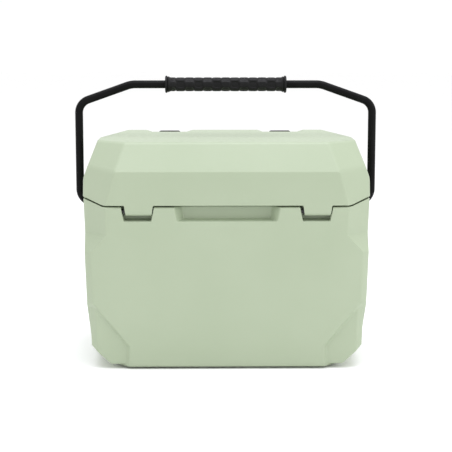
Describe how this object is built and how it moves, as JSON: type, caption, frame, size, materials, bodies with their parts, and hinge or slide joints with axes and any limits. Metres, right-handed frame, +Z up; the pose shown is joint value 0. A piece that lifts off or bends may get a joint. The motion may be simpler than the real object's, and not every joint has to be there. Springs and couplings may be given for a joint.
{
  "type": "hard cooler chest",
  "caption": "Moulded insulated cooler chest with a faceted body, hinged sealed lid, swinging tube bail with a textured grip, and rubber strap latches.",
  "frame": {"origin": "centre of the chest's footprint on the surface that its feet stand on", "axes": "+X across the width of the chest, +Y from the hinge side towards the latch side, +Z up"},
  "size_m": [0.4836, 0.31, 0.4446],
  "materials": {
    "green_plastic": "matte, lightly textured",
    "liner_plastic": "smooth, satin",
    "foam": "rigid insulating foam",
    "bail_tube": "black powder coat",
    "grip_rubber": "matte with a moulded diamond pattern",
    "latch_rubber": "satin",
    "socket_plastic": "satin",
    "seal_rubber": "matte",
    "foot_rubber": "matte",
    "steel": "plain stainless",
    "nylon": "natural"
  },
  "bodies": {
    "chest": {"body_shell": "green_plastic", "body_foam": "foam", "body_liner": "liner_plastic", "foot_back_left": "foot_rubber", "foot_back_right": "foot_rubber", "foot_front_left": "foot_rubber", "foot_front_right": "foot_rubber", "foot_screw_back_left": "steel", "foot_screw_back_right": "steel", "foot_screw_front_left": "steel", "foot_screw_front_right": "steel", "hinge_pin_left": "steel", "hinge_pin_right": "steel", "handle_socket_left": "socket_plastic", "handle_socket_right": "socket_plastic", "latch_pin_left": "steel", "latch_pin_right": "steel"},
    "lid": {"lid_shell": "green_plastic", "lid_foam": "foam", "lid_liner": "liner_plastic", "lid_gasket": "seal_rubber", "hinge_bush_left_plain": "nylon", "hinge_bush_left_spacer": "nylon", "hinge_bush_right_plain": "nylon", "hinge_bush_right_spacer": "nylon"},
    "handle": {"handle_bar": "bail_tube", "handle_grip": "grip_rubber", "handle_retainer_left": "steel", "handle_retainer_right": "steel"},
    "latch_left": {"latch_left": "latch_rubber"},
    "latch_right": {"latch_right": "latch_rubber"}
  },
  "joints": [
    {"name": "lid_hinge", "type": "hinge", "parent": "chest", "child": "lid", "pos_m": [0, -0.1485, 0.2455], "axis": [1, 0, 0], "range_deg": [0, 18]},
    {"name": "handle_pivot", "type": "hinge", "parent": "chest", "child": "handle", "pos_m": [0, 0, 0.2402], "axis": [1, 0, 0], "range_deg": [-90, 90]},
    {"name": "latch_left_pivot", "type": "hinge", "parent": "chest", "child": "latch_left", "pos_m": [-0.094, 0.149, 0.2175], "axis": [-1, 0, 0], "range_deg": [0, 165]},
    {"name": "latch_right_pivot", "type": "hinge", "parent": "chest", "child": "latch_right", "pos_m": [0.094, 0.149, 0.2175], "axis": [-1, 0, 0], "range_deg": [0, 165]}
  ]
}
